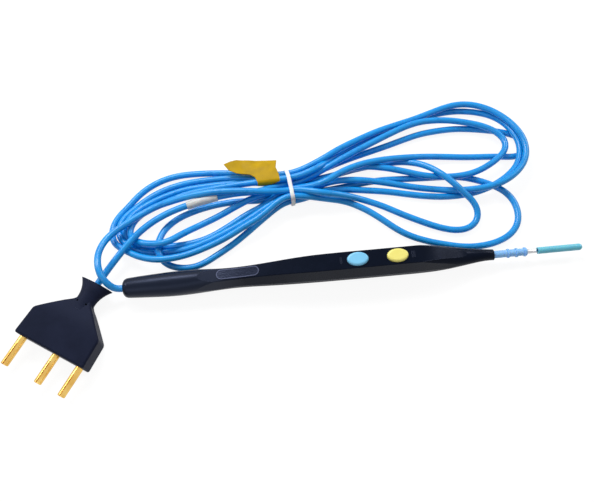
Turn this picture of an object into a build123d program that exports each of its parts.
from build123d import *
from math import cos, radians, sin, sqrt, tan
import os

os.makedirs("parts", exist_ok=True)

# An electrosurgical pencil: a two-shell handle with two sprung buttons, a plug-in electrode
# with its tip cover, and a tied hank of cord that ends in a moulded three-pin plug.
# Units are millimetres. +X runs along the handle towards the electrode, +Z is up,
# and the origin is on the table under the middle of the handle and electrode.

# Handle, outside
REAR_X = -121.2            # rear end, where the cord comes out
NOSE_X = 73.1              # front end of the nose
REAR_R = 4.9               # radius at the rear end, before its edge is rounded
REAR_ROUND = 3.0
BULB_X = -93.0             # fattest place of the round rear
BULB_R = 6.4
BULB_AXIS_Z = 6.4          # height of the cord's exit
WAIST_X = -64.0
WAIST_HALF = 5.05
WAIST_TOP = 13.4
WAIST_AXIS_Z = 7.3
GRIP_BACK_X = -26.0
GRIP_MID_X = 9.0
GRIP_FRONT_X = 32.0
GRIP_HALF = 6.5            # half width at the widest line of the grip
GRIP_FACE_HALF = 4.7       # half width of the flat button face
GRIP_TOP = 17.2            # height of the button face
GRIP_AXIS_Z = 8.2          # height of the widest line
SHOULDER_X = 46.0
SHOULDER_HALF = 5.9
SHOULDER_TOP = 13.6
NOSE_ROOT_X = 58.0
NOSE_ROOT_R = 4.45
NOSE_R = 2.9
NOSE_Z = 5.6               # height of the electrode's axis
RIDGE_ROUND = 0.5          # radius along the edges of the button face
FORM_STEPS = 16            # sections that each loft is drawn through
UNDERSIDE_DIP = 0.15       # the belly is cut this deep by the table, which leaves a flat

# Handle, inside
WALL = 1.1
REAR_WALL = 3.2
PARTING_GAP = 0.08         # hairline between the two shells
PARTING_REAR_Z = 6.4
PARTING_BEND = 25.0
SHELL_REACH = 30.0         # half size of the blocks that part the two shells
CRIMP_X = -108.0
CRIMP_LENGTH = 7.2
CRIMP_R = 2.6
CRIMP_FIT = 0.02
RIB = 1.2
RIB_GAP = 0.15
BULKHEAD_X = 42.0
BOSS_XS = (-80.0, -46.0)
BOSS_R = 1.6
PEG_R = 0.8
PEG_TOP_Z = 10.2
PEG_CLEARANCE = 0.06
PILLAR_R = 1.5

# Buttons
COAG_X = 0.0
BUTTON_PITCH = 20.5
BUTTON_LENGTH = 11.0
BUTTON_WIDTH = 7.3
BUTTON_PROUD = 1.5
BUTTON_ROUND = 1.1
BUTTON_CLEARANCE = 0.12
FLANGE_LENGTH = 13.2
FLANGE_WIDTH = 6.9
FLANGE_THICKNESS = 0.85
FLANGE_GAP = 0.15
STEM_R = 1.5
STEM_GAP = 0.1

# Switch board
BOARD_BACK_X = -31.0
BOARD_FRONT_X = 40.0
BOARD_WIDTH = 8.4
BOARD_THICKNESS = 1.0
BOARD_Z = 10.6
BOARD_PEG_XS = (-20.0, 10.25, 31.0)
DOME_R = 3.0
DOME_HEIGHT = 0.75
DOME_METAL = 0.12

# Raised pads on the button face
PAD_RELIEF = 0.3
PAD_X = -61.5
PAD_LENGTH = 22.0
PAD_WIDTH = 5.4
MARK_WIDTH = 0.7
MARK_LENGTH = 3.4
MARK_PITCH = 1.9
MARK_OFFSET = 8.6          # from a button's middle to its tactile marks

# Electrode, sleeve and tip cover
SHAFT_R = 1.18             # the usual 3/32 inch electrode shaft
SHAFT_BACK_X = 50.0
SHAFT_FIT = 0.02
SHAFT_LEAD_IN = 0.3
SOCKET_BACK_X = 49.0       # bottom of the socket's bore
SOCKET_R = 1.75
SOCKET_FIT = 0.03
SOCKET_FLANGE_R = 2.4
SOCKET_TAIL_R = 1.0
SOCKET_TAIL_LENGTH = 3.2
SOCKET_SLOT = 0.5
SOCKET_SLOT_LENGTH = 9.0
NOSE_MOUTH_DEPTH = 2.0
SLEEVE_R = 1.95
SLEEVE_END_X = 91.1
SLEEVE_FIT = 0.05
RING_R = 2.45
RING_WIDTH = 0.8
RING_XS = (81.1, 85.6, 90.1)
FLAT_START_X = 92.0
BLADE_START_X = 97.0
BLADE_END_X = 119.0
BLADE_HALF_THICKNESS = 0.42
BLADE_HALF_WIDTH = 1.15
COVER_BACK_X = 97.1
COVER_END_X = 121.2
COVER_R = 1.8
COVER_FIT = 0.04
COVER_FLOOR = 1.5

# Cord and the leads inside the handle
CORD_D = 3.6
CORD_FIT = 0.05
CORD_TAIL_END_X = -98.0
CORE_D = 1.0
CORE_BEND = 3.0
CORE_SIDE_Y = 2.7
CORE_SPREAD = 0.78
SOLDER_LENGTH = 3.0
SOLDER_GAP = 0.04

# Plug
PLUG_TURN = 57.0           # heading of the plug's cord end, in degrees from +X
PLUG_MOUTH = (-134.8, 3.6)
PLUG_LENGTH = 40.0
PLUG_HALF = 20.5
PLUG_DRAFT = 0.7
PLUG_SHOULDER = 15.0       # length of the straight sides
PLUG_SLOPE_END = 25.0
PLUG_SLOPE_HALF = 9.0
PLUG_THICKNESS = 11.5
BODY_END_HALF = 3.6        # the flat body runs out inside the round neck
BODY_END_THICKNESS = 5.6
NECK_ROOT_AT = 24.0
NECK_ROOT_HALF = 7.4
NECK_ROOT_HALF_HEIGHT = 4.6
NECK_AT = 32.0
NECK_HALF = 5.3
NECK_HALF_HEIGHT = 3.9
FLARE_AT = 36.2
FLARE_HALF = 6.7
MOUTH_HALF = 9.4
MOUTH_HALF_HEIGHT = 3.7
PLUG_EDGE = 1.2
PLUG_CORNER = 3.0
PLUG_PIN_CORNER = 1.0
BELL_DEPTH = 4.0
BELL_HALF = 7.6
BELL_HALF_HEIGHT = 3.0
CORD_GRIP = 2.0            # depth of the cord's seat behind the bell
PIN_R = 2.0
PIN_LENGTH = 16.0
PIN_TIP_ROUND = 0.6
PIN_SHOULDER_GAP = 0.2     # between the moulding's face and the contact's shoulder
PIN_TANG_R = 1.5
PIN_TANG = 13.0
PIN_SLOT = 0.6
PIN_SLOT_LENGTH = 12.0
PIN_FIRST = -17.0
PIN_PITCH_WIDE = 20.0
PIN_PITCH_NARROW = 14.0
PIN_FIT = 0.02
LOCATOR_R = 0.6            # blind holes left by the tool that held the cord in the mould
LOCATOR_DEPTH = 1.5
LOCATOR_AT = 28.0
LOCATOR_SPREAD = 2.6

# Hank, tie, tag and marker
HANK_HEIGHT = 7.4
BUNDLE_BACK_X = -54.0
BUNDLE_FRONT_X = -8.0
BUNDLE_LOW_Y = 41.6
BUNDLE_WIDTH = 18.6
BUNDLE_BOTTOM = 1.1
BUNDLE_TOP = 10.8
BUNDLE_ROUND = 3.0
LEFT_LOBE_MID = (-84.5, 37.6)
LEFT_LOBE_HALF_LENGTH = 41.2
LEFT_LOBE_HALF_WIDTH = 28.2
TIE_SPAN = 8.0             # the lobes stop this far apart where the tie goes round
TIE_X = -29.4
TIE_WIDTH = 2.0
TIE_THICKNESS = 0.9
TIE_GAP = 0.1
TAG_THICKNESS = 0.5
TAG_GAP = 0.1
TAG_OUTLINE = [
    (-64.5, 68.5), (-58.5, 70.6), (-35.5, 67.4), (-35.2, 55.2), (-43.5, 51.8), (-48.0, 51.8),
    (-50.0, 58.4), (-59.5, 62.2),
]
MARKER_R = 2.3
MARKER_LENGTH = 18.5
MARKER_MID = (-78.5, 44.9)
MARKER_TURN = 13.0

# The free cord, from the handle to the hank, and from the hank to the plug.
# Each list is chosen by hand along the cord as it lies.
PENCIL_LEAD = [
    (REAR_X, 0.0, BULB_AXIS_Z),
    (-123.5, 0.0, BULB_AXIS_Z),
    (-125.7, 0.5, 7.9),
    (-127.8, 1.9, 10.5),
    (-130.2, 4.7, 12.9),
    (-132.1, 8.7, 14.0),
    (-133.3, 13.6, 13.8),
    (-133.5, 19.0, 12.4),
    (-131.9, 24.4, 10.5),
    (-128.3, 29.6, 8.6),
    (-122.8, 34.0, 6.8),
    (-116.0, 37.4, 5.2),
]


def plug_point(along, across, height):
    """A place in the plug's own frame: along its cord axis, across its pin row."""
    heading = radians(PLUG_TURN)
    x = PLUG_MOUTH[0] + (along - PLUG_LENGTH) * cos(heading) + across * sin(heading)
    y = PLUG_MOUTH[1] + (along - PLUG_LENGTH) * sin(heading) - across * cos(heading)
    return (x, y, height)


PLUG_AXIS_Z = PLUG_THICKNESS / 2
PLUG_LEAD = [
    plug_point(PLUG_LENGTH - BELL_DEPTH - CORD_GRIP, 0, PLUG_AXIS_Z),
    plug_point(PLUG_LENGTH + 1.0, 0, PLUG_AXIS_Z),
    (-129.4, 11.4, 4.9),
    (-125.0, 17.0, 4.5),
    (-119.6, 23.0, 4.6),
    (-113.8, 29.2, 4.7),
]

# Outer shape of the hank's right lobe, round it once.
RIGHT_LOBE = [
    (-22, 50), (-6, 42), (14, 31), (36, 15), (56, 8.6), (74, 6.8), (90, 14), (96, 30), (106, 50),
    (108, 68), (97, 88), (75, 97), (46, 90), (16, 80), (-10, 68),
]


def section_plane(x):
    """A plane across the handle: its x is the row's +Y and its y is +Z."""
    return Plane(origin=(x, 0, 0), x_dir=(0, 1, 0), z_dir=(1, 0, 0))


# Round form of the handle: x, half width, axis height, height above it, depth below it.
ROUND_STATIONS = [
    (REAR_X, REAR_R, BULB_AXIS_Z, REAR_R, REAR_R),
    (-108.0, 5.85, BULB_AXIS_Z, 5.85, 5.85),
    (BULB_X, BULB_R, BULB_AXIS_Z, BULB_R, BULB_R + UNDERSIDE_DIP),
    (-79.0, 6.0, 6.8, 7.2, 6.3),
    (WAIST_X, WAIST_HALF + 0.3, WAIST_AXIS_Z, 9.0, 6.2),
    (-46.0, 5.9, 7.8, 11.0, 7.3),
    (GRIP_BACK_X, GRIP_HALF, GRIP_AXIS_Z, 12.5, GRIP_AXIS_Z + UNDERSIDE_DIP),
    (GRIP_MID_X, GRIP_HALF + 0.3, GRIP_AXIS_Z, 12.5, GRIP_AXIS_Z + UNDERSIDE_DIP),
    (GRIP_FRONT_X, GRIP_HALF + 0.3, GRIP_AXIS_Z, 12.3, GRIP_AXIS_Z + UNDERSIDE_DIP),
    (SHOULDER_X, SHOULDER_HALF + 0.2, 7.4, 7.6, 6.9),
    (NOSE_ROOT_X, NOSE_ROOT_R, 6.8, NOSE_ROOT_R, NOSE_ROOT_R),
    (NOSE_X, NOSE_R, NOSE_Z, NOSE_R, NOSE_R),
]

# Faceted form that trims the round one: x, half width, half width of the flat top, its height.
FACET_STATIONS = [
    (REAR_X - 1.0, 9.0, 8.0, 18.5, BULB_AXIS_Z),
    (-108.0, 8.0, 6.8, 16.4, BULB_AXIS_Z),
    (BULB_X, BULB_R + 0.9, 5.2, 14.6, BULB_AXIS_Z),
    (-79.0, 6.3, 3.9, 13.4, 6.8),
    (WAIST_X, WAIST_HALF, 3.3, WAIST_TOP, WAIST_AXIS_Z),
    (-46.0, 5.6, 3.6, 15.2, 7.8),
    (GRIP_BACK_X, GRIP_HALF - 0.3, GRIP_FACE_HALF - 0.2, GRIP_TOP - 0.3, GRIP_AXIS_Z),
    (-12.0, GRIP_HALF - 0.05, GRIP_FACE_HALF, GRIP_TOP, GRIP_AXIS_Z),
    (GRIP_MID_X, GRIP_HALF, GRIP_FACE_HALF, GRIP_TOP, GRIP_AXIS_Z),
    (GRIP_FRONT_X - 3.0, GRIP_HALF, GRIP_FACE_HALF, GRIP_TOP, GRIP_AXIS_Z),
    (GRIP_FRONT_X + 5.0, GRIP_HALF - 0.15, GRIP_FACE_HALF, GRIP_TOP - 0.6, 8.0),
    (SHOULDER_X + 2.0, SHOULDER_HALF - 0.1, 4.3, SHOULDER_TOP - 0.2, 7.3),
    (NOSE_ROOT_X, NOSE_ROOT_R + 0.9, 4.0, 11.7, 6.8),
    (NOSE_X + 1.0, NOSE_R + 1.5, 3.6, 10.6, NOSE_Z),
]


def height_on(guide, x):
    """The value that a guide line has at x."""
    low = 0.0
    high = 1.0
    for _ in range(40):
        middle = (low + high) / 2
        if (guide @ middle).X < x:
            low = middle
        else:
            high = middle
    return (guide @ low).Y


def even_sections(stations):
    """Smooth guide lines through the stations, read at even steps along the handle."""
    guides = []
    for column in range(1, len(stations[0])):
        with BuildLine() as line:
            Spline(*[(station[0], station[column]) for station in stations])
        guides.append(line.edges()[0])
    start = stations[0][0]
    step = (stations[-1][0] - start) / FORM_STEPS
    places = [start + step * number for number in range(FORM_STEPS + 1)]
    return [[x] + [height_on(guide, x) for guide in guides] for x in places]


ROUND_SECTIONS = even_sections(ROUND_STATIONS)
FACET_SECTIONS = even_sections(FACET_STATIONS)


def handle_form(inset):
    """The handle's outside, drawn in by inset all round: a round form trimmed by facets."""
    with BuildPart() as form:
        for x, half, axis_z, up, down in ROUND_SECTIONS:
            with BuildSketch(section_plane(x)):
                with BuildLine():
                    centre = (0, axis_z)
                    EllipticalCenterArc(centre, half - inset, up - inset, 0, arc_size=180)
                    EllipticalCenterArc(centre, half - inset, down - inset, 180, arc_size=180)
                make_face()
        loft()
        for x, half, face_half, top, axis_z in FACET_SECTIONS:
            lean = (half - face_half) / (top - axis_z)
            side = inset * sqrt(1 + lean * lean)
            wide = half - side
            narrow = face_half + inset * lean - side
            with BuildSketch(section_plane(x)):
                with BuildLine():
                    Polyline(
                        (wide, -5), (wide, axis_z), (narrow, top - inset),
                        (-narrow, top - inset), (-wide, axis_z), (-wide, -5), close=True,
                    )
                make_face()
                fillet(vertices().group_by(Axis.Y)[-1], RIDGE_ROUND)
        loft(mode=Mode.INTERSECT)
        split(bisect_by=Plane.XY.offset(inset), keep=Keep.TOP)
    return form.part


def parting_block(side):
    """The space above (side 1) or below (side -1) the parting surface of the two shells."""
    lift = side * PARTING_GAP / 2
    back = REAR_X - 5
    front = NOSE_X + 5
    with BuildPart() as block:
        with BuildSketch(Plane.XZ):
            with BuildLine():
                FilletPolyline(
                    (back, PARTING_REAR_Z + lift), (BULB_X, PARTING_REAR_Z + lift),
                    (GRIP_BACK_X, GRIP_AXIS_Z + lift), (GRIP_FRONT_X, GRIP_AXIS_Z + lift),
                    (SHOULDER_X + 4, NOSE_Z + lift), (front, NOSE_Z + lift),
                    radius=PARTING_BEND,
                )
                Polyline(
                    (front, NOSE_Z + lift), (front, side * SHELL_REACH),
                    (back, side * SHELL_REACH), (back, PARTING_REAR_Z + lift),
                )
            make_face()
        extrude(amount=SHELL_REACH, both=True)
    return block.part


CRIMP_BACK_X = CRIMP_X - CRIMP_LENGTH / 2
CRIMP_FRONT_X = CRIMP_X + CRIMP_LENGTH / 2
SOCKET_WALL_X = SHOULDER_X
BAYS = [
    (REAR_X + REAR_WALL, CRIMP_BACK_X - RIB_GAP - RIB),
    (CRIMP_BACK_X - RIB_GAP, CRIMP_FRONT_X + RIB_GAP),
    (CRIMP_FRONT_X + RIB_GAP + RIB, BULKHEAD_X),
    (BULKHEAD_X + RIB, SOCKET_WALL_X),
]


def hollow():
    """The inside of the handle: one bay between each pair of ribs."""
    with BuildPart() as inner:
        add(handle_form(WALL))
        with BuildSketch(Plane.XZ):
            for start, end in BAYS:
                with Locations(((start + end) / 2, 0)):
                    Rectangle(end - start, 2 * SHELL_REACH)
        extrude(amount=SHELL_REACH, both=True, mode=Mode.INTERSECT)
    return inner.part


def axial_bore(start_x, end_x, radius, height):
    """A cylinder along X, for bores."""
    with BuildPart() as bore:
        with BuildSketch(Plane(origin=(start_x, 0, height), x_dir=(0, 1, 0), z_dir=(1, 0, 0))):
            Circle(radius)
        extrude(amount=end_x - start_x)
    return bore.part


def raised_marks():
    """A bare pad behind the grip, and tactile bars: one for coagulation, two for cutting."""
    with BuildPart() as marks:
        add(handle_form(-PAD_RELIEF))
        with BuildSketch(Plane.XY.offset(WAIST_AXIS_Z + 3)):
            with Locations((PAD_X, 0)):
                SlotOverall(PAD_LENGTH, PAD_WIDTH)
            with Locations((COAG_X - MARK_OFFSET, 0)):
                SlotOverall(MARK_LENGTH, MARK_WIDTH, rotation=90)
            cut_mark_x = COAG_X + BUTTON_PITCH + MARK_OFFSET
            with Locations((cut_mark_x, 0), (cut_mark_x - MARK_PITCH / 2, 0)):
                SlotOverall(MARK_LENGTH, MARK_WIDTH, rotation=90)
        extrude(amount=SHELL_REACH, mode=Mode.INTERSECT)
        add(HOLLOW, mode=Mode.SUBTRACT)
    return marks.part


HOLLOW = hollow()


def boss_columns():
    """Columns that join the shells behind the grip, cut at the parting surface later."""
    with BuildPart() as columns:
        with BuildSketch():
            with Locations(*[(x, 0) for x in BOSS_XS]):
                Circle(BOSS_R)
        extrude(amount=SHELL_REACH)
        add(handle_form(WALL / 2), mode=Mode.INTERSECT)
    return columns.part


BORES = [
    (REAR_X - 1, CRIMP_FRONT_X + RIB_GAP + RIB + 1, CORD_D / 2 + CORD_FIT, BULB_AXIS_Z),
    (BULKHEAD_X - 1, BULKHEAD_X + RIB + 1, SOCKET_TAIL_R + CORD_FIT, NOSE_Z),
    (SOCKET_WALL_X - 1, NOSE_X - NOSE_MOUTH_DEPTH, SOCKET_R + SOCKET_FIT, NOSE_Z),
    (NOSE_X - NOSE_MOUTH_DEPTH, NOSE_X + 2, SLEEVE_R + SLEEVE_FIT, NOSE_Z),
]
PEG_FOOT_Z = PARTING_REAR_Z - 1
BUTTON_XS = (COAG_X, COAG_X + BUTTON_PITCH)


def shell_blank():
    """Both shells in one: the outside less the bays and the bores on the two axes."""
    with BuildPart() as blank:
        add(handle_form(0))
        fillet(faces().sort_by(Axis.X)[0].edges(), REAR_ROUND)
        add(HOLLOW, mode=Mode.SUBTRACT)
        add(boss_columns())
        for start_x, end_x, radius, height in BORES:
            add(axial_bore(start_x, end_x, radius, height), mode=Mode.SUBTRACT)
    return blank.part


BLANK = shell_blank()

# Upper shell: carries the button face, the button openings and the sockets for the pegs.
with BuildPart() as upper_shell:
    add(BLANK)
    add(raised_marks())
    with BuildSketch(Plane.XY.offset(PEG_FOOT_Z)):
        with Locations(*[(x, 0) for x in BOSS_XS]):
            Circle(PEG_R + PEG_CLEARANCE)
    extrude(amount=PEG_TOP_Z - PEG_FOOT_Z + 2 * PEG_CLEARANCE, mode=Mode.SUBTRACT)
    with BuildSketch(Plane.XY.offset(GRIP_TOP + 1)):
        with Locations(*[(x, 0) for x in BUTTON_XS]):
            Ellipse(BUTTON_LENGTH / 2 + BUTTON_CLEARANCE, BUTTON_WIDTH / 2 + BUTTON_CLEARANCE)
    extrude(amount=-(WALL + 2), mode=Mode.SUBTRACT)
    add(parting_block(1), mode=Mode.INTERSECT)
upper_shell.part.label = "upper_shell"
export_step(upper_shell.part, "parts/upper_shell.step")

# Lower shell: the belly, with pillars under the switch board and pegs for the upper shell.
with BuildPart() as lower_shell:
    add(BLANK)
    add(parting_block(-1), mode=Mode.INTERSECT)
    with BuildSketch(Plane.XY.offset(UNDERSIDE_DIP + WALL / 2)):
        with Locations(*[(x, 0) for x in BOARD_PEG_XS]):
            Circle(PILLAR_R)
    extrude(amount=BOARD_Z - UNDERSIDE_DIP - WALL / 2)
    with BuildSketch(Plane.XY.offset(BOARD_Z)):
        with Locations(*[(x, 0) for x in BOARD_PEG_XS]):
            Circle(PEG_R)
    extrude(amount=BOARD_THICKNESS)
    with BuildSketch(Plane.XY.offset(PEG_FOOT_Z)):
        with Locations(*[(x, 0) for x in BOSS_XS]):
            Circle(PEG_R)
    extrude(amount=PEG_TOP_Z - PEG_FOOT_Z)
lower_shell.part.label = "lower_shell"
export_step(lower_shell.part, "parts/lower_shell.step")


def button(x):
    """One push button: an oval cap, the flange that keeps it in, and its stem."""
    flange_top = GRIP_TOP - WALL - FLANGE_GAP
    dome_top = BOARD_Z + BOARD_THICKNESS + DOME_HEIGHT
    with BuildPart() as cap:
        with BuildSketch(Plane.XY.offset(flange_top - FLANGE_THICKNESS)):
            with Locations((x, 0)):
                Ellipse(BUTTON_LENGTH / 2, BUTTON_WIDTH / 2)
        extrude(amount=GRIP_TOP + BUTTON_PROUD - flange_top + FLANGE_THICKNESS)
        fillet(faces().sort_by(Axis.Z)[-1].edges(), BUTTON_ROUND)
        with BuildSketch(Plane.XY.offset(flange_top - FLANGE_THICKNESS)):
            with Locations((x, 0)):
                SlotOverall(FLANGE_LENGTH, FLANGE_WIDTH)
        extrude(amount=FLANGE_THICKNESS)
        with BuildSketch(Plane.XY.offset(dome_top + STEM_GAP)):
            with Locations((x, 0)):
                Circle(STEM_R)
        extrude(amount=flange_top - FLANGE_THICKNESS - dome_top - STEM_GAP)
    return cap


def snap_dome(x):
    """A pressed metal dome that closes the contact under a button and springs back."""
    board_top = BOARD_Z + BOARD_THICKNESS
    sphere_r = (DOME_R * DOME_R + DOME_HEIGHT * DOME_HEIGHT) / (2 * DOME_HEIGHT)
    centre_z = board_top + DOME_HEIGHT - sphere_r
    inner_r = sphere_r - DOME_METAL
    inner_foot = sqrt(inner_r ** 2 - (board_top - centre_z) ** 2)
    with BuildPart() as dome:
        with BuildSketch(Plane.XZ):
            with BuildLine():
                outer = ThreePointArc(
                    (x, centre_z + sphere_r),
                    (x + sphere_r * sin(radians(13)), centre_z + sphere_r * cos(radians(13))),
                    (x + DOME_R, board_top),
                )
                inner = ThreePointArc(
                    (x, centre_z + inner_r),
                    (x + inner_r * sin(radians(13)), centre_z + inner_r * cos(radians(13))),
                    (x + inner_foot, board_top),
                )
                Line(outer @ 0, inner @ 0)
                Line(outer @ 1, inner @ 1)
            make_face()
        revolve(axis=Axis((x, 0, 0), (0, 0, 1)))
    return dome


for name, x in zip(("coag", "cut"), BUTTON_XS):
    push_button = button(x)
    push_button.part.label = name + "_button"
    export_step(push_button.part, "parts/" + name + "_button.step")
    contact_dome = snap_dome(x)
    contact_dome.part.label = name + "_dome"
    export_step(contact_dome.part, "parts/" + name + "_dome.step")

# Switch board: a strip on the three pillars, with the peg holes.
with BuildPart() as switch_board:
    with BuildSketch(Plane.XY.offset(BOARD_Z)):
        with Locations(((BOARD_BACK_X + BOARD_FRONT_X) / 2, 0)):
            RectangleRounded(BOARD_FRONT_X - BOARD_BACK_X, BOARD_WIDTH, 1.0)
        with Locations(*[(x, 0) for x in BOARD_PEG_XS]):
            Circle(PEG_R + PEG_CLEARANCE, mode=Mode.SUBTRACT)
    extrude(amount=BOARD_THICKNESS)
switch_board.part.label = "switch_board"
export_step(switch_board.part, "parts/switch_board.step")


def turned(points):
    """A solid turned about the electrode's axis, from (x, radius) corners."""
    with BuildPart() as body:
        with BuildSketch(Plane.XZ):
            with BuildLine():
                Polyline(*[(x, NOSE_Z + r) for x, r in points], close=True)
            make_face()
        revolve(axis=Axis((0, 0, NOSE_Z), (1, 0, 0)))
    return body.part


def nose_plane(x):
    """A section plane on the electrode's axis."""
    return Plane(origin=(x, 0, NOSE_Z), x_dir=(0, 1, 0), z_dir=(1, 0, 0))


# Electrode socket: a brass tube with a flange, a solder tail and a split spring mouth.
SOCKET_FRONT_X = NOSE_X - NOSE_MOUTH_DEPTH - 0.2
FLANGE_BACK_X = BULKHEAD_X + RIB + RIB_GAP
FLANGE_FRONT_X = SOCKET_WALL_X - RIB_GAP
TAIL_BACK_X = BULKHEAD_X - SOCKET_TAIL_LENGTH
BORE_R = SHAFT_R + SHAFT_FIT
with BuildPart() as electrode_socket:
    add(turned([
        (TAIL_BACK_X, 0), (TAIL_BACK_X, SOCKET_TAIL_R), (FLANGE_BACK_X, SOCKET_TAIL_R),
        (FLANGE_BACK_X, SOCKET_FLANGE_R), (FLANGE_FRONT_X, SOCKET_FLANGE_R),
        (FLANGE_FRONT_X, SOCKET_R), (SOCKET_FRONT_X, SOCKET_R), (SOCKET_FRONT_X, BORE_R),
        (SOCKET_BACK_X, BORE_R), (SOCKET_BACK_X, 0),
    ]))
    with BuildSketch(Plane.XZ):
        with Locations((SOCKET_FRONT_X, NOSE_Z)):
            Rectangle(2 * SOCKET_SLOT_LENGTH, SOCKET_SLOT)
    extrude(amount=SOCKET_R + 1, both=True, mode=Mode.SUBTRACT)
electrode_socket.part.label = "electrode_socket"
export_step(electrode_socket.part, "parts/electrode_socket.step")

# Electrode: a steel shaft that is flattened into a blade with a round end.
with BuildPart() as electrode:
    with BuildSketch(nose_plane(SHAFT_BACK_X)):
        Circle(SHAFT_R)
    extrude(amount=FLAT_START_X - SHAFT_BACK_X)
    chamfer(faces().sort_by(Axis.X)[0].edges(), SHAFT_LEAD_IN)
    with BuildSketch(nose_plane(FLAT_START_X)):
        Circle(SHAFT_R)
    with BuildSketch(nose_plane(BLADE_START_X)):
        Ellipse(BLADE_HALF_WIDTH, BLADE_HALF_THICKNESS)
    loft()
    with BuildSketch(nose_plane(BLADE_START_X)):
        Ellipse(BLADE_HALF_WIDTH, BLADE_HALF_THICKNESS)
    extrude(amount=BLADE_END_X - BLADE_START_X)
    with BuildSketch(Plane.XY.offset(NOSE_Z)):
        with Locations(((SHAFT_BACK_X - SHAFT_R + BLADE_END_X) / 2, 0)):
            SlotOverall(BLADE_END_X - SHAFT_BACK_X + 3 * SHAFT_R, 2 * SHAFT_R + 0.02)
    extrude(amount=SHAFT_R + 0.01, both=True, mode=Mode.INTERSECT)
electrode.part.label = "electrode"
export_step(electrode.part, "parts/electrode.step")

# Insulating sleeve on the shaft, with three grip rings.
SLEEVE_BACK_X = NOSE_X - NOSE_MOUTH_DEPTH + 0.1
sleeve_corners = [(SLEEVE_BACK_X, BORE_R), (SLEEVE_BACK_X, SLEEVE_R)]
for ring_x in RING_XS:
    sleeve_corners += [
        (ring_x - RING_WIDTH / 2, SLEEVE_R), (ring_x - RING_WIDTH / 2, RING_R),
        (ring_x + RING_WIDTH / 2, RING_R), (ring_x + RING_WIDTH / 2, SLEEVE_R),
    ]
sleeve_corners += [(SLEEVE_END_X, SLEEVE_R), (SLEEVE_END_X, BORE_R)]
with BuildPart() as electrode_sleeve:
    add(turned(sleeve_corners))
electrode_sleeve.part.label = "electrode_sleeve"
export_step(electrode_sleeve.part, "parts/electrode_sleeve.step")

# Tip cover: a soft tube with a closed round end, pushed over the blade.
COVER_BORE_R = BLADE_HALF_WIDTH + COVER_FIT
with BuildPart() as tip_cover:
    with BuildSketch(nose_plane(COVER_BACK_X)):
        Circle(COVER_R)
    extrude(amount=COVER_END_X - COVER_BACK_X)
    fillet(faces().sort_by(Axis.X)[-1].edges(), COVER_R - 0.1)
    with BuildSketch(nose_plane(COVER_BACK_X)):
        Circle(COVER_BORE_R)
    extrude(amount=COVER_END_X - COVER_BACK_X - COVER_FLOOR, mode=Mode.SUBTRACT)
tip_cover.part.label = "tip_cover"
export_step(tip_cover.part, "parts/tip_cover.step")

# The cord's jacket inside the handle, and the crimp that keeps it there.
def cord_plane(x):
    """A section plane on the axis of the cord's exit."""
    return Plane(origin=(x, 0, BULB_AXIS_Z), x_dir=(0, 1, 0), z_dir=(1, 0, 0))


with BuildPart() as cord_tail:
    with BuildSketch(cord_plane(REAR_X)):
        Circle(CORD_D / 2)
    extrude(amount=CORD_TAIL_END_X - REAR_X)
cord_tail.part.label = "cord_tail"
export_step(cord_tail.part, "parts/cord_tail.step")

with BuildPart() as cord_crimp:
    with BuildSketch(cord_plane(CRIMP_BACK_X)):
        Circle(CRIMP_R)
        Circle(CORD_D / 2 + CRIMP_FIT, mode=Mode.SUBTRACT)
    extrude(amount=CRIMP_LENGTH)
cord_crimp.part.label = "cord_crimp"
export_step(cord_crimp.part, "parts/cord_crimp.step")


def wire(points, diameter, bends):
    """A round wire or cord along straight runs joined by arcs."""
    with BuildPart() as strand:
        with BuildLine() as path:
            FilletPolyline(*points, radius=bends)
        heading = Vector(*points[1]) - Vector(*points[0])
        with BuildSketch(Plane(origin=points[0], z_dir=heading)):
            Circle(diameter / 2)
        sweep(path=path.wires()[0])
    return strand.part


PAD_WIRE_Z = BOARD_Z + BOARD_THICKNESS + CORE_D / 2 + SOLDER_GAP
PAD_END_X = BOARD_BACK_X + SOLDER_LENGTH
WIRE_TURN_X = CORD_TAIL_END_X + 4
WIRE_SPREAD_X = CORD_TAIL_END_X + 11
LOW_CORE_Z = BULB_AXIS_Z - CORE_SPREAD / 2
HIGH_CORE_Z = BULB_AXIS_Z + CORE_SPREAD
with BuildPart() as active_wire:
    add(wire([
        (CORD_TAIL_END_X, CORE_SPREAD, LOW_CORE_Z), (WIRE_TURN_X, CORE_SPREAD, LOW_CORE_Z),
        (WIRE_SPREAD_X, CORE_SIDE_Y, 6.0), (TAIL_BACK_X - 7, CORE_SIDE_Y, 5.8),
        (TAIL_BACK_X - 3, 0, NOSE_Z), (TAIL_BACK_X, 0, NOSE_Z),
    ], CORE_D, CORE_BEND))
active_wire.part.label = "active_wire"
export_step(active_wire.part, "parts/active_wire.step")

with BuildPart() as coag_wire:
    add(wire([
        (CORD_TAIL_END_X, 0, HIGH_CORE_Z), (WIRE_TURN_X, 0, HIGH_CORE_Z),
        (WIRE_SPREAD_X, CORE_SIDE_Y, 7.6), (BOARD_BACK_X - 12, CORE_SIDE_Y, 9.2),
        (BOARD_BACK_X - 3, CORE_SIDE_Y, PAD_WIRE_Z), (PAD_END_X, CORE_SIDE_Y, PAD_WIRE_Z),
    ], CORE_D, CORE_BEND))
coag_wire.part.label = "coag_wire"
export_step(coag_wire.part, "parts/coag_wire.step")

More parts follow.
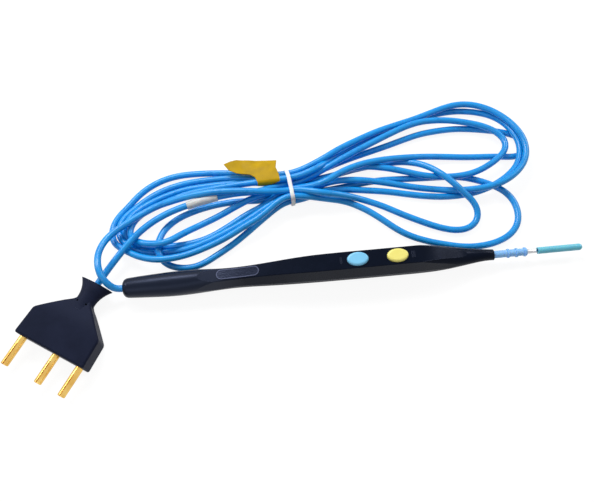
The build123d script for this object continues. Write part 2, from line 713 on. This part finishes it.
with BuildPart() as cut_wire:
    add(wire([
        (CORD_TAIL_END_X, -CORE_SPREAD, LOW_CORE_Z), (WIRE_TURN_X, -CORE_SPREAD, LOW_CORE_Z),
        (WIRE_SPREAD_X, -CORE_SIDE_Y, 7.0), (BOARD_BACK_X - 12, -CORE_SIDE_Y, 9.2),
        (BOARD_BACK_X - 3, -CORE_SIDE_Y, PAD_WIRE_Z), (PAD_END_X, -CORE_SIDE_Y, PAD_WIRE_Z),
    ], CORE_D, CORE_BEND))
cut_wire.part.label = "cut_wire"
export_step(cut_wire.part, "parts/cut_wire.step")


# Plug body: one moulding, wide at the pins, waisted to a neck and flared at the cord.
PLUG_AHEAD = (cos(radians(PLUG_TURN)), sin(radians(PLUG_TURN)), 0)
PLUG_ACROSS = (sin(radians(PLUG_TURN)), -cos(radians(PLUG_TURN)), 0)
PLUG_PLAN = Plane(origin=plug_point(0, 0, 0), x_dir=PLUG_AHEAD, z_dir=(0, 0, 1))
PLUG_SIDE = Plane(origin=plug_point(0, 0, PLUG_AXIS_Z), x_dir=PLUG_AHEAD, z_dir=PLUG_ACROSS)
PIN_PLACES = (PIN_FIRST, PIN_FIRST + PIN_PITCH_WIDE, PIN_FIRST + PIN_PITCH_WIDE + PIN_PITCH_NARROW)


def plug_end_plane(along):
    """A plane across the plug, looking towards the pins."""
    back = (-PLUG_AHEAD[0], -PLUG_AHEAD[1], 0)
    return Plane(origin=plug_point(along, 0, PLUG_AXIS_Z), x_dir=PLUG_ACROSS, z_dir=back)


NECK_STATIONS = (
    (NECK_ROOT_AT, NECK_ROOT_HALF, NECK_ROOT_HALF_HEIGHT),
    (NECK_AT, NECK_HALF, NECK_HALF_HEIGHT),
    (FLARE_AT, FLARE_HALF, NECK_HALF_HEIGHT),
    (PLUG_LENGTH, MOUTH_HALF, MOUTH_HALF_HEIGHT),
)

with BuildPart() as plug_body:
    with BuildSketch(PLUG_PLAN):
        with BuildLine():
            side = Line((0, PLUG_HALF), (PLUG_SHOULDER, PLUG_HALF - PLUG_DRAFT))
            slope = Line(side @ 1, (PLUG_SLOPE_END, PLUG_SLOPE_HALF))
            Spline(slope @ 1, (NECK_AT, BODY_END_HALF), tangents=[slope % 1, (1, -0.1)])
            mirror(about=Plane.XZ)
            Line((0, PLUG_HALF), (0, -PLUG_HALF))
            Line((NECK_AT, BODY_END_HALF), (NECK_AT, -BODY_END_HALF))
        make_face()
        fillet(vertices().filter_by_position(Axis.X, PLUG_SHOULDER - 1, PLUG_SHOULDER + 1), PLUG_CORNER)
        fillet(vertices().group_by(Axis.X)[0], PLUG_PIN_CORNER)
    extrude(amount=PLUG_THICKNESS)
    with BuildSketch(PLUG_SIDE):
        with BuildLine():
            crown = Line((0, PLUG_AXIS_Z), (PLUG_SHOULDER, PLUG_AXIS_Z))
            Spline(crown @ 1, (NECK_AT, BODY_END_THICKNESS / 2), tangents=[(1, 0), (1, -0.1)])
            mirror(about=Plane.XZ)
            Line((0, PLUG_AXIS_Z), (0, -PLUG_AXIS_Z))
            Line((NECK_AT, BODY_END_THICKNESS / 2), (NECK_AT, -BODY_END_THICKNESS / 2))
        make_face()
    extrude(amount=PLUG_HALF + 1, both=True, mode=Mode.INTERSECT)
    skins = faces().filter_by(lambda f: abs(f.normal_at().Z) > 0.5)
    rims = [e for f in skins for e in f.edges() if len([g for g in skins if e in g.edges()]) == 1]
    fillet(rims, PLUG_EDGE)
    for along, half, half_height in NECK_STATIONS:
        with BuildSketch(plug_end_plane(along)):
            Ellipse(half, half_height)
    loft()
    with BuildSketch(plug_end_plane(PLUG_LENGTH - BELL_DEPTH)):
        Circle(CORD_D / 2 + CORD_FIT)
    with BuildSketch(plug_end_plane(PLUG_LENGTH + 0.1)):
        Ellipse(BELL_HALF, BELL_HALF_HEIGHT)
    loft(mode=Mode.SUBTRACT)
    with BuildSketch(plug_end_plane(PLUG_LENGTH - BELL_DEPTH + 0.05)):
        Circle(CORD_D / 2 + CORD_FIT)
    extrude(amount=CORD_GRIP + 0.05, mode=Mode.SUBTRACT)
    with BuildSketch(plug_end_plane(0)):
        with Locations(*[(across, 0) for across in PIN_PLACES]):
            Circle(PIN_TANG_R + PIN_FIT)
    extrude(amount=-PIN_TANG, mode=Mode.SUBTRACT)
    with BuildSketch(PLUG_PLAN.offset(PLUG_THICKNESS)):
        with Locations((LOCATOR_AT, LOCATOR_SPREAD), (LOCATOR_AT, -LOCATOR_SPREAD)):
            Circle(LOCATOR_R)
    extrude(amount=-PLUG_THICKNESS / 2 + CORD_D / 2 + 1, mode=Mode.SUBTRACT)
plug_body.part.label = "plug_body"
export_step(plug_body.part, "parts/plug_body.step")


def plug_pin(across):
    """A turned 4 mm pin with a slimmer tang in the moulding and a slot that lets it spring."""
    with BuildPart() as pin:
        with BuildSketch(plug_end_plane(PIN_TANG - PIN_FIT)):
            with Locations((across, 0)):
                Circle(PIN_TANG_R)
        extrude(amount=PIN_TANG - PIN_FIT + PIN_SHOULDER_GAP)
        with BuildSketch(plug_end_plane(-PIN_SHOULDER_GAP)):
            with Locations((across, 0)):
                Circle(PIN_R)
        extrude(amount=PIN_LENGTH - PIN_SHOULDER_GAP)
        fillet(edges().filter_by(GeomType.CIRCLE).sort_by_distance(
            plug_point(-PIN_LENGTH, across, PLUG_AXIS_Z))[0], PIN_TIP_ROUND)
        with BuildSketch(plug_end_plane(PIN_SLOT_LENGTH - PIN_LENGTH)):
            with Locations((across, 0)):
                Rectangle(PIN_SLOT, 2 * PIN_R + 1)
        extrude(amount=2 * PIN_SLOT_LENGTH, mode=Mode.SUBTRACT)
    return pin.part


for number, across in enumerate(PIN_PLACES, start=1):
    with BuildPart() as contact_pin:
        add(plug_pin(across))
    contact_pin.part.label = "plug_pin_" + str(number)
    export_step(contact_pin.part, "parts/plug_pin_" + str(number) + ".step")


def corner_radii(points):
    """The largest arcs that the runs beside each corner leave room for."""
    radii = []
    for before, corner, after in zip(points, points[1:], points[2:]):
        run_in = Vector(*corner) - Vector(*before)
        run_out = Vector(*after) - Vector(*corner)
        turn = radians(run_in.get_angle(run_out))
        radii.append(0.45 * min(run_in.length, run_out.length) / tan(turn / 2))
    return radii


# The free leads of the cord.
for name, route in (("cord_lead_pencil", PENCIL_LEAD), ("cord_lead_plug", PLUG_LEAD)):
    arcs = corner_radii(route)
    print(name, "arc radii", [round(r, 1) for r in arcs])
    with BuildPart() as lead:
        add(wire(route, CORD_D, arcs))
    with BuildLine() as centreline:
        FilletPolyline(*route, radius=arcs)
    length = centreline.wires()[0].length
    area = 3.14159265 * CORD_D ** 2 / 4
    print("length", round(length, 1), "volume by length", round(length * area, 1), "solid", round(lead.part.volume, 1))
    lead.part.label = name
    export_step(lead.part, "parts/" + name + ".step")

# The hank: the outer shape of the coiled turns, two lobes gathered into a thicker waist.
BUNDLE_MID_X = (BUNDLE_BACK_X + BUNDLE_FRONT_X) / 2
BUNDLE_MID_Y = BUNDLE_LOW_Y + BUNDLE_WIDTH / 2
with BuildPart() as cord_hank:
    with BuildSketch(Plane.XY.offset(BUNDLE_BOTTOM)):
        with Locations((BUNDLE_MID_X, BUNDLE_MID_Y)):
            Rectangle(BUNDLE_FRONT_X - BUNDLE_BACK_X, BUNDLE_WIDTH)
    extrude(amount=BUNDLE_TOP - BUNDLE_BOTTOM)
    fillet(edges().filter_by(Axis.X), BUNDLE_ROUND)
    with BuildSketch():
        with Locations(LEFT_LOBE_MID):
            Ellipse(LEFT_LOBE_HALF_LENGTH, LEFT_LOBE_HALF_WIDTH)
        with BuildLine():
            Spline(*RIGHT_LOBE, periodic=True)
        make_face()
        with Locations((TIE_X, BUNDLE_MID_Y)):
            Rectangle(TIE_SPAN, 2 * BUNDLE_WIDTH, mode=Mode.SUBTRACT)
    extrude(amount=HANK_HEIGHT)
cord_hank.part.label = "cord_hank"
export_step(cord_hank.part, "parts/cord_hank.step")

# Tie: a narrow band round the waist of the hank.
with BuildPart() as cord_tie:
    with BuildSketch(Plane(origin=(TIE_X - TIE_WIDTH / 2, 0, 0), x_dir=(0, 1, 0), z_dir=(1, 0, 0))):
        with Locations((BUNDLE_MID_Y, (BUNDLE_TOP + BUNDLE_BOTTOM) / 2)):
            inner_width = BUNDLE_WIDTH + 2 * TIE_GAP
            inner_height = BUNDLE_TOP - BUNDLE_BOTTOM + 2 * TIE_GAP
            corner = BUNDLE_ROUND + TIE_GAP
            RectangleRounded(
                inner_width + 2 * TIE_THICKNESS, inner_height + 2 * TIE_THICKNESS, corner + TIE_THICKNESS
            )
            RectangleRounded(inner_width, inner_height, corner, mode=Mode.SUBTRACT)
    extrude(amount=TIE_WIDTH)
cord_tie.part.label = "cord_tie"
export_step(cord_tie.part, "parts/cord_tie.step")

# Tag: a bare label folded over the outermost strands of the waist.
with BuildPart() as cord_tag:
    with BuildSketch(Plane.XY.offset(BUNDLE_TOP + TAG_GAP)):
        with BuildLine():
            Polyline(*TAG_OUTLINE, close=True)
        make_face()
    extrude(amount=TAG_THICKNESS)
cord_tag.part.label = "cord_tag"
export_step(cord_tag.part, "parts/cord_tag.step")

# Marker: a short sleeve on the plug's lead where it lies over the left lobe.
with BuildPart() as marker_sleeve:
    heading = (cos(radians(MARKER_TURN)), sin(radians(MARKER_TURN)), 0)
    centre = Vector(MARKER_MID[0], MARKER_MID[1], HANK_HEIGHT + MARKER_R + TAG_GAP)
    with BuildSketch(Plane(origin=centre, z_dir=heading)):
        Circle(MARKER_R)
    extrude(amount=MARKER_LENGTH / 2, both=True)
marker_sleeve.part.label = "marker_sleeve"
export_step(marker_sleeve.part, "parts/marker_sleeve.step")
